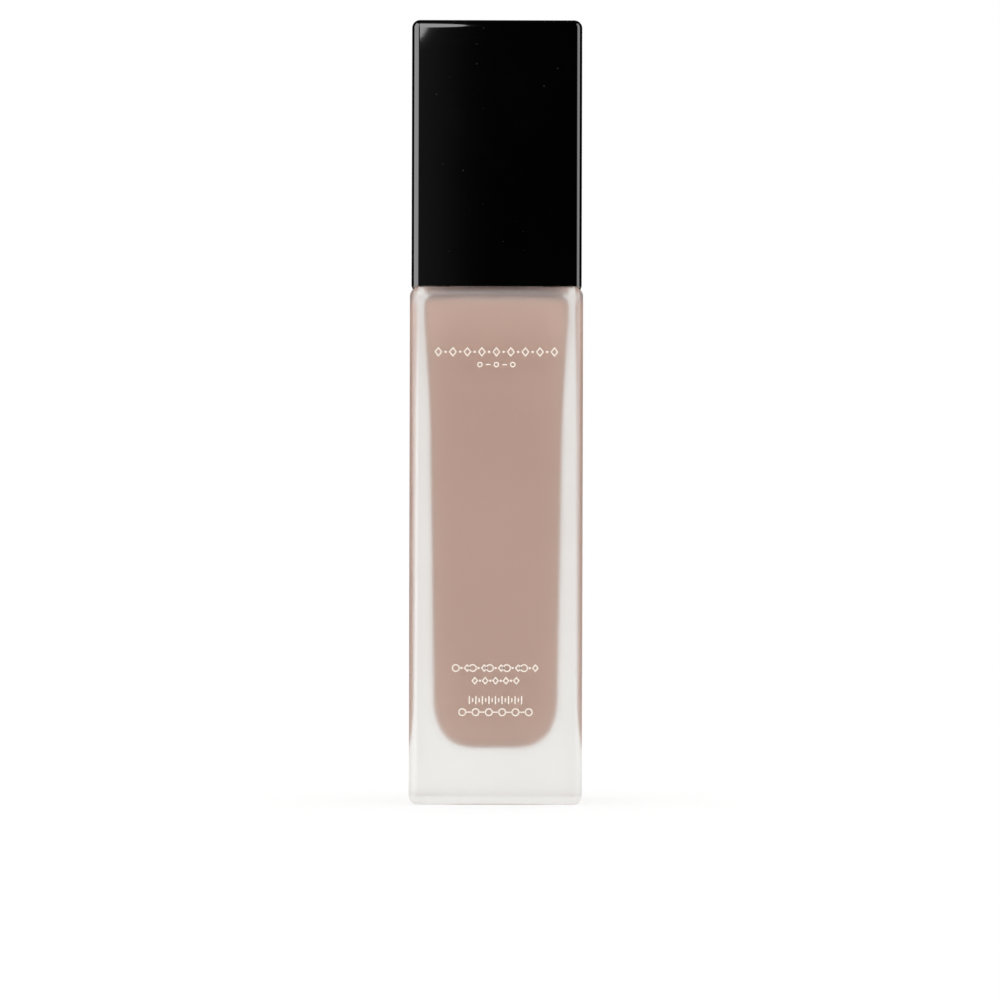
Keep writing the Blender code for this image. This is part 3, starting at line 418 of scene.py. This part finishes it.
bottleLow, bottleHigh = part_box("glass_bottle")
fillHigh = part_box("foundation_fill")[1]
glass = {"top": 85.8 * mm, "edge": 1.6 * mm, "neck": 7.8 * mm, "lip": 0.6 * mm, "foot": 0.7 * mm,
         "bore": 5.0 * mm, "bead": 0.95 * mm, "pitch": 3.175 * mm, "turns": 1.5, "threadStart": 93.84 * mm,
         "recessInset": 3.0 * mm, "recess": 0.6 * mm, "recessCorner": 3.0 * mm, "neckOverlap": 0.6 * mm}
cavity = {"squareness": 5.0, "facets": 128, "floor": 9.1 * mm, "bowl": 8.4 * mm, "bowlPower": 4.2,
          "flareFoot": 59.8 * mm, "flareTop": 80.3 * mm, "ceiling": 84.6 * mm, "ceilingRadius": 1.6 * mm,
          "wallFoot": 4.0 * mm, "wallFlare": 3.35 * mm, "wallTop": 2.3 * mm, "flareBend": 1.5}
bodyWidth = bottleHigh.x - bottleLow.x
bodyDepth = bottleHigh.y - bottleLow.y
neckTop = bottleHigh.z


def wallAt(height):
    bowlTop = cavity["floor"] + cavity["bowl"]
    if height >= cavity["flareFoot"]:
        share = (height - cavity["flareFoot"]) / (cavity["flareTop"] - cavity["flareFoot"])
        share = min(1.0, share) ** cavity["flareBend"]
        return cavity["wallFlare"] + (cavity["wallTop"] - cavity["wallFlare"]) * share
    share = max(0.0, height - bowlTop) / (cavity["flareFoot"] - bowlTop)
    return cavity["wallFoot"] + (cavity["wallFlare"] - cavity["wallFoot"]) * share


def cavityLevels():
    bowlTop = cavity["floor"] + cavity["bowl"]
    half = bodyWidth / 2
    levels = []
    for i in range(18):
        drop = math.cos(math.radians(8 + 82 * i / 17))
        levels.append((bowlTop - drop * cavity["bowl"],
                       (half - cavity["wallFoot"]) * (1 - drop ** 2) ** (1 / cavity["bowlPower"])))
    for i in range(13):
        height = cavity["flareFoot"] + (cavity["flareTop"] - cavity["flareFoot"]) * i / 12
        levels.append((height, half - wallAt(height)))
    radius = cavity["ceilingRadius"]
    corner = (half - cavity["wallTop"] - radius, cavity["ceiling"] - radius)
    for across, height in arcPoints(corner, radius, 0, 90, 8):
        levels.append((height, across))
    return levels


def loft(name, grow):  # the cavity's shape, grown on every side
    levels = [(height, half + grow) for height, half in cavityLevels()]
    levels[0] = (levels[0][0] - grow, levels[0][1])
    levels[-1] = (levels[-1][0] + grow, levels[-1][1])
    bpy.ops.mesh.primitive_circle_add(vertices=cavity["facets"], radius=1, fill_type="NGON")
    piece = bpy.context.object
    piece.name = name
    power = 2 / cavity["squareness"]
    for vertex in piece.data.vertices:
        x, y = vertex.co.x, vertex.co.y
        vertex.co.x = math.copysign(abs(x) ** power, x)
        vertex.co.y = math.copysign(abs(y) ** power, y)
    startEditing(piece, "FACE")
    bpy.ops.mesh.select_all(action="SELECT")
    first = levels[0]
    bpy.ops.transform.resize(value=(first[1], first[1], 1))
    bpy.ops.transform.translate(value=(0, 0, first[0]))
    for last, level in zip(levels, levels[1:]):
        bpy.ops.mesh.extrude_region_move(TRANSFORM_OT_translate={"value": (0, 0, level[0] - last[0])})
        bpy.ops.transform.resize(value=(level[1] / last[1], level[1] / last[1], 1))
    return stopEditing(piece)


bottle = block("frosted_bottle", (bodyWidth, bodyDepth, glass["top"]), (0, 0, glass["top"] / 2))
startEditing(bottle, "EDGE")
bpy.ops.mesh.select_all(action="SELECT")
bpy.ops.mesh.bevel(offset=glass["edge"], segments=9, affect="EDGES")
pick(bottle, "FACE", facesAt(0))
bpy.ops.mesh.inset(thickness=glass["recessInset"])
bpy.ops.mesh.extrude_region_move(TRANSFORM_OT_translate={"value": (0, 0, glass["recess"])})
recessHalf = bodyWidth / 2 - glass["edge"] - glass["recessInset"]
pick(bottle, "EDGE", lambda edge: isUpright(edge) and all(
    near(abs(v.co.x), recessHalf) and near(abs(v.co.y), recessHalf) for v in edge.verts))
bpy.ops.mesh.bevel(offset=glass["recessCorner"], segments=6, affect="EDGES")
stopEditing(bottle)

footCentre = (glass["neck"] + glass["foot"], glass["top"] + glass["foot"])
lipCentre = (glass["neck"] - glass["lip"], neckTop - glass["lip"])
neckRoot = glass["top"] - glass["neckOverlap"]
neckProfile = [(0, neckRoot), (footCentre[0], neckRoot)]
neckProfile += arcPoints(footCentre, glass["foot"], 270, 180, 6)
neckProfile += arcPoints(lipCentre, glass["lip"], 0, 90, 6) + [(0, neckTop)]
combine(bottle, turned("neck", neckProfile, 128), "UNION")

bpy.ops.mesh.primitive_circle_add(vertices=20, radius=glass["bead"], rotation=(quarterTurn, 0, 0),
                                  location=(glass["neck"], 0, glass["threadStart"]))
bead = bpy.context.object
bpy.ops.object.transform_apply(location=True, rotation=True, scale=True)
wind(bead, glass["turns"], glass["pitch"] * glass["turns"], 144)
combine(bottle, bead, "UNION")

combine(bottle, loft("cavity_cutter", 0.0), "DIFFERENCE")
boreFoot, boreTop = cavity["ceiling"] - 1 * mm, neckTop + 2 * mm  # past both ends, for a clean cut
boreProfile = [(0, boreFoot), (glass["bore"], boreFoot), (glass["bore"], boreTop), (0, boreTop)]
combine(bottle, turned("bore_cutter", boreProfile, 128), "DIFFERENCE")
settle(bottle, frostedGlass, "frosted_glass", "bottle", "glass_bottle")

pumpRoom = {"mouth": 5.0 * mm, "step": 79.84 * mm, "socket": 3.2 * mm, "socketFoot": 69.49 * mm,
            "tube": 2.1 * mm, "tubeFoot": 11.0 * mm, "above": 3 * mm, "wetting": 0.03 * mm}
liquid = loft("foundation", pumpRoom["wetting"])
roomTop = fillHigh.z + pumpRoom["above"]
roomProfile = [(0, pumpRoom["tubeFoot"]), (pumpRoom["tube"], pumpRoom["tubeFoot"]),
               (pumpRoom["tube"], pumpRoom["socketFoot"]), (pumpRoom["socket"], pumpRoom["socketFoot"]),
               (pumpRoom["socket"], pumpRoom["step"]), (pumpRoom["mouth"], pumpRoom["step"]),
               (pumpRoom["mouth"], roomTop), (0, roomTop)]
combine(liquid, turned("room_cutter", roomProfile, 64), "DIFFERENCE")
settle(liquid, foundation, "foundation", "bottle", "foundation_fill")

print("stage: bottle ready")


ornament = {"front": bottleLow.y - 0.035 * mm, "depth": 0.045 * mm, "line": 0.2 * mm}  # printed rows


def motif(name, sides, radius, hollow, stretch=1.0):
    bpy.ops.mesh.primitive_circle_add(vertices=sides, radius=radius, fill_type="NGON",
                                      rotation=(quarterTurn, 0, 0),
                                      location=(0, ornament["front"] + ornament["depth"], 0))
    piece = bpy.context.object
    piece.name = name
    bpy.ops.object.transform_apply(location=True, rotation=True, scale=True)
    startEditing(piece, "FACE")
    bpy.ops.mesh.select_all(action="SELECT")
    bpy.ops.transform.resize(value=(stretch, 1, 1))
    if hollow:
        bpy.ops.mesh.inset(thickness=ornament["line"])
        bpy.ops.mesh.delete(type="FACE")
        bpy.ops.mesh.select_all(action="SELECT")
    bpy.ops.mesh.extrude_region_move(TRANSFORM_OT_translate={"value": (0, -ornament["depth"], 0)})
    return stopEditing(piece)


def bar(name, width, height):
    centre = (0, ornament["front"] + ornament["depth"] / 2, 0)
    return block(name, (width, ornament["depth"], height), centre)


def printRow(height, count, pitch, motifs):
    for i in range(count):
        master = motifs[i % len(motifs)]
        stamp = master.copy()
        stamp.data = master.data.copy()
        stamp.location = ((i - (count - 1) / 2) * pitch, 0, height)
        scene.collection.objects.link(stamp)
        stamps.append(stamp)


stamps = []
lozenge = motif("lozenge", 4, 0.83 * mm, True, 0.8)
smallLozenge = motif("small_lozenge", 4, 0.68 * mm, True, 0.85)
dot = motif("dot", 20, 0.2 * mm, False)
ring = motif("ring", 32, 0.66 * mm, True)
smallRing = motif("small_ring", 28, 0.46 * mm, True)
tallBar = bar("tall_bar", 0.22 * mm, 1.34 * mm)
lowBar = bar("low_bar", 0.22 * mm, 0.7 * mm)
dash = bar("dash", 0.8 * mm, 0.2 * mm)
printRow(75.0 * mm, 17, 1.2 * mm, [lozenge, dot])
printRow(72.9 * mm, 5, 1.36 * mm, [smallRing, dash])
printRow(22.7 * mm, 15, 0.94 * mm, [ring, dot, smallLozenge])
printRow(20.6 * mm, 9, 0.86 * mm, [smallLozenge, dot])
printRow(17.4 * mm, 17, 0.54 * mm, [tallBar, lowBar])
printRow(15.4 * mm, 11, 1.1 * mm, [ring, dash])
for master in (lozenge, smallLozenge, dot, ring, smallRing, tallBar, lowBar, dash):
    bpy.data.objects.remove(master)
activate(stamps[0])
for stamp in stamps:
    stamp.select_set(True)
bpy.ops.object.join()
printing = stamps[0]
printing.name = "front_ornament"
settle(printing, creamInk, "label_paper", "bottle")

labelLow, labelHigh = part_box("base_label")
label = {"corner": 1.8 * mm, "border": 0.8 * mm, "press": 0.015 * mm}
sticker = block("base_sticker", labelHigh - labelLow, (labelLow + labelHigh) / 2)
startEditing(sticker, "EDGE")
pick(sticker, "EDGE", isUpright)
bpy.ops.mesh.bevel(offset=label["corner"], segments=6, affect="EDGES")
pick(sticker, "FACE", facesAt(labelLow.z))
bpy.ops.mesh.inset(thickness=label["border"])
bpy.ops.transform.translate(value=(0, 0, label["press"]))  # a pressed border
stopEditing(sticker)
settle(sticker, labelPaper, "label_paper", "bottle", "base_label")

print("stage: ornament ready")


capLow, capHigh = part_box("cap_shell")
cap = {"wall": 1.4 * mm, "edge": 1.33 * mm, "innerEdge": 0.8 * mm, "rimDrop": 0.2 * mm}
capLow.z -= cap["rimDrop"]  # the rim closes down on the glass
overcap = block("black_overcap", capHigh - capLow, (capLow + capHigh) / 2)
startEditing(overcap, "FACE")
pick(overcap, "FACE", facesAt(capLow.z))
bpy.ops.mesh.inset(thickness=cap["wall"])
bpy.ops.mesh.extrude_region_move(TRANSFORM_OT_translate={"value": (0, 0, capHigh.z - capLow.z - cap["wall"])})
capHalf = capHigh.x
innerHalf = capHalf - cap["wall"]


def outerCapEdge(edge):
    a, b = edge.verts[0].co, edge.verts[1].co
    if near(a.z, capHigh.z) and near(b.z, capHigh.z):
        return True
    return isUpright(edge) and near(abs(a.x), capHalf) and near(abs(b.x), capHalf)


pick(overcap, "EDGE", lambda edge: isUpright(edge) and near(abs(edge.verts[0].co.x), innerHalf))
bpy.ops.mesh.bevel(offset=cap["innerEdge"], segments=5, affect="EDGES")
pick(overcap, "EDGE", outerCapEdge)
bpy.ops.mesh.bevel(offset=cap["edge"], segments=14, affect="EDGES")
stopEditing(overcap)
settle(overcap, capGloss, "black_gloss", "cap", "cap_shell")

print("stage: overcap ready")


sleeveLow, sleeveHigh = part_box("closure_shell")
sleeve = {"wall": 0.55 * mm, "edge": 0.45 * mm, "hole": 6.25 * mm, "rim": 0.12 * mm}
outer = sleeveHigh.x
shoulder = (outer - sleeve["edge"], sleeveHigh.z - sleeve["edge"])
bore = outer - sleeve["wall"]
sleeveProfile = [(bore, sleeveLow.z), (outer - sleeve["rim"], sleeveLow.z), (outer, sleeveLow.z + sleeve["rim"])]
sleeveProfile += arcPoints(shoulder, sleeve["edge"], 0, 90, 6)
sleeveProfile += [(sleeve["hole"] + sleeve["rim"], sleeveHigh.z), (sleeve["hole"], sleeveHigh.z - sleeve["rim"]),
                  (sleeve["hole"], sleeveHigh.z - sleeve["wall"]), (bore, sleeveHigh.z - sleeve["wall"]),
                  (bore, sleeveLow.z)]
settle(turned("closure_sleeve", sleeveProfile, 160), sleeveMetal, "black_sleeve", "closure", "closure_shell")

headLow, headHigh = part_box("actuator_shell")
head = {"radius": 7.4 * mm, "wall": 1.0 * mm, "roof": 1.4 * mm, "edge": 0.9 * mm, "dish": 0.5 * mm,
        "dishRadius": 5.6 * mm, "spout": 2.5 * mm, "spoutBore": 1.8 * mm, "spoutRoot": 6.0 * mm,
        "boreRoot": 5.0 * mm, "nozzleDrop": 4.4 * mm, "rim": 0.15 * mm, "dishSteps": 12}
headBore = head["radius"] - head["wall"]
nozzleHeight = headHigh.z - head["nozzleDrop"]
headCorner = (head["radius"] - head["edge"], headHigh.z - head["edge"])
headProfile = [(headBore, headLow.z), (head["radius"] - head["rim"], headLow.z),
               (head["radius"], headLow.z + head["rim"])]
headProfile += arcPoints(headCorner, head["edge"], 0, 90, 8)
for i in range(head["dishSteps"] + 1):
    share = 1 - i / head["dishSteps"]
    dishDrop = head["dish"] * (0.5 + 0.5 * math.cos(math.pi * share))
    headProfile.append((head["dishRadius"] * share, headHigh.z - dishDrop))
headProfile += [(0, headHigh.z - head["roof"]), (headBore, headHigh.z - head["roof"]), (headBore, headLow.z)]
actuator = turned("actuator_button", headProfile, 160)
spoutEnd = -headLow.y
spout = turned("spout", [(0, head["spoutRoot"]), (head["spout"], head["spoutRoot"]),
                         (head["spout"], spoutEnd - head["rim"]), (head["spout"] - head["rim"], spoutEnd),
                         (0, spoutEnd)], 64)
combine(actuator, layForward(spout, (0, 0, nozzleHeight)), "UNION")
holeEnd = spoutEnd + 1 * mm
spoutHole = turned("spout_hole", [(0, head["boreRoot"]), (head["spoutBore"], head["boreRoot"]),
                                  (head["spoutBore"], holeEnd), (0, holeEnd)], 64)
combine(actuator, layForward(spoutHole, (0, 0, nozzleHeight)), "DIFFERENCE")
settle(actuator, blackPlastic, "black_plastic", "actuator", "actuator_shell")

tipLow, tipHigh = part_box("nozzle_insert")
tip = {"radius": 1.7 * mm, "bore": 0.7 * mm, "lip": 0.6 * mm, "rim": 0.12 * mm, "flare": 0.25 * mm}
tipBack, tipFront = -tipHigh.y, -tipLow.y
lipRadius = tip["radius"] + tip["lip"]
tipProfile = [(tip["bore"], tipBack), (tip["radius"], tipBack), (tip["radius"], tipFront - tip["lip"]),
              (lipRadius, tipFront - tip["lip"]), (lipRadius, tipFront - tip["rim"]),
              (lipRadius - tip["rim"], tipFront), (tip["bore"] + tip["flare"], tipFront),
              (tip["bore"], tipFront - tip["flare"]), (tip["bore"], tipBack)]
nozzle = layForward(turned("nozzle_tip", tipProfile, 64), (0, 0, nozzleHeight))
settle(nozzle, blackPlastic, "black_plastic", "actuator", "nozzle_insert")

coilLow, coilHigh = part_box("return_spring")
coil = {"wire": 0.25 * mm, "turns": 6.5, "stroke": 4.0 * mm}
coilRadius = coilHigh.x - coil["wire"]
bpy.ops.mesh.primitive_circle_add(vertices=12, radius=coil["wire"], rotation=(quarterTurn, 0, 0),
                                  location=(coilRadius, 0, coilLow.z + coil["wire"]))
spring = bpy.context.object
spring.name = "pump_spring"
bpy.ops.object.transform_apply(location=True, rotation=True, scale=True)
wind(spring, coil["turns"], coilHigh.z - coilLow.z - 2 * coil["wire"], 312)
settle(spring, springSteel, "stainless_steel", "pump", "return_spring")
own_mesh(spring)

kept = {
    "closure_ring": blackPlastic, "pump_turret": blackPlastic, "cap_liner": blackPlastic,
    "pump_housing": naturalPlastic, "ball_retainer": naturalPlastic, "pump_stem": naturalPlastic,
    "stem_plug": naturalPlastic, "actuator_core": naturalPlastic, "dip_tube": tubePlastic,
    "neck_gasket": softSeal, "piston": softSeal, "inlet_ball": springSteel,
}
for name, material in kept.items():
    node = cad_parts[name]
    node.data.materials.clear()
    node.data.materials.append(material)

print("stage: pump ready")


ground = {"size": 1.4, "tone": (1.0, 1.0, 1.0, 1.0), "patchy": (0.9, 0.9, 0.9, 1.0),
          "behindGlass": (0.86, 0.86, 0.835, 1.0), "paint": (0.25, 0.25, 0.25, 1.0)}
bpy.ops.mesh.primitive_plane_add(size=ground["size"])
floor = bpy.context.object
floor.name = "studio_floor"
floorConstants = {"Base Color": ground["paint"], "Roughness": 0.9, "Emission Strength": 0.77,
                  "Specular IOR Level": 0.0}
floorPaint, tree, shader, place = newMaterial("studio_floor", floorConstants)
floorTone = remap(tree, noise(tree, place, 6.0, 2.0), 0.0, 1.0, 0.985, 1.0)
floorShade = mixColors(tree, floorTone, ground["patchy"], ground["tone"])
throughGlass = add(tree, "LightPath", {}, {}).outputs["Is Transmission Ray"]
tree.links.new(mixColors(tree, throughGlass, floorShade, ground["behindGlass"]), shader.inputs["Emission Color"])
floor.data.materials.append(floorPaint)

studio = {"boxLeft": 6.2, "boxRight": 4.8, "fill": 0.03, "patch": 0.004, "face": 0.2,
          "white": (1.0, 1.0, 1.0, 1.0), "through": (0.88, 0.872, 0.855, 1.0)}
world = bpy.data.worlds.new("studio")
scene.world = world
world.use_nodes = True
tree = world.node_tree
sky = tree.nodes["Background"]
path = add(tree, "LightPath", {}, {}).outputs
direction = add(tree, "SeparateXYZ", {}, {"Vector": add(tree, "TexCoord", {}, {}).outputs["Generated"]}).outputs
sideways = reckon(tree, "ABSOLUTE", direction["X"], 0.0)
towards = reckon(tree, "MULTIPLY", direction["Y"], -1.0)
bearing = reckon(tree, "ARCTAN2", sideways, towards)  # 0 behind the camera, pi behind the object
onLeft = reckon(tree, "LESS_THAN", direction["X"], 0.0)
onRight = reckon(tree, "SUBTRACT", 1.0, onLeft)
level = remap(tree, reckon(tree, "ABSOLUTE", direction["Z"], 0.0), 0.75, 0.92, 1.0, 0.0, True)


def softbox(start, startSoft, end, endSoft, side, strength):
    rise = remap(tree, bearing, math.radians(start), math.radians(start + startSoft), 0.0, 1.0, True)
    drop = remap(tree, bearing, math.radians(end - endSoft), math.radians(end), 1.0, 0.0, True)
    shape = reckon(tree, "MULTIPLY", reckon(tree, "MULTIPLY", rise, drop), side)
    return reckon(tree, "MULTIPLY", reckon(tree, "MULTIPLY", shape, level), strength)


leftBox = softbox(18, 2, 88, 2.5, onLeft, studio["boxLeft"])
rightBox = softbox(40, 16, 88, 2.5, onRight, studio["boxRight"])
backGlow = remap(tree, bearing, math.radians(120), math.radians(150), studio["patch"], studio["fill"], True)
faceGlow = remap(tree, direction["X"], -0.02, -0.003, studio["face"], 0.0, True)
faceGlow = reckon(tree, "MULTIPLY", faceGlow, reckon(tree, "LESS_THAN", bearing, 0.3))
shine = reckon(tree, "ADD", reckon(tree, "ADD", leftBox, rightBox), reckon(tree, "ADD", backGlow, faceGlow))
notDiffuse = reckon(tree, "SUBTRACT", 1.0, path["Is Diffuse Ray"])
mirrored = reckon(tree, "MULTIPLY", path["Is Reflection Ray"], notDiffuse)
strength = add(tree, "Mix", {"data_type": "FLOAT"}, {0: mirrored, 2: 1.0, 3: shine}).outputs[0]
strength = add(tree, "Mix", {"data_type": "FLOAT"}, {0: path["Is Camera Ray"], 2: strength, 3: 1.0}).outputs[0]
tree.links.new(strength, sky.inputs["Strength"])
skyTint = mixColors(tree, path["Is Transmission Ray"], studio["white"], studio["through"])
tree.links.new(skyTint, sky.inputs["Color"])

brow = {"width": 22 * mm, "length": 170 * mm, "energy": 0.065, "angle": math.radians(33),
        "distance": 150 * mm, "aim": (-17 * mm, -14 * mm, 130 * mm)}
lamp = bpy.data.lights.new("brow_light", "AREA")
lamp.shape = "ELLIPSE"
lamp.size = brow["width"]
lamp.size_y = brow["length"]
lamp.energy = brow["energy"]
browLight = bpy.data.objects.new("brow_light", lamp)
browLight.location = (brow["aim"][0], brow["aim"][1] - brow["distance"] * math.cos(brow["angle"]),
                      brow["aim"][2] + brow["distance"] * math.sin(brow["angle"]))
browLight.rotation_euler = (quarterTurn - brow["angle"], 0, 0)
browLight.visible_camera = False
browLight.visible_diffuse = False
browLight.visible_transmission = False
scene.collection.objects.link(browLight)

shot = {"lens": 200, "place": (0.66 * mm, -933.3 * mm, 50.5 * mm), "lean": math.radians(-0.15)}
lens = bpy.data.cameras.new("camera")
lens.lens = shot["lens"]
lens.sensor_width = 36
lens.clip_start = 0.01
lens.dof.use_dof = False
camera = bpy.data.objects.new("camera", lens)
camera.location = shot["place"]
camera.rotation_euler = (quarterTurn, shot["lean"], 0)
scene.collection.objects.link(camera)
scene.camera = camera
scene.view_settings.view_transform = "Standard"
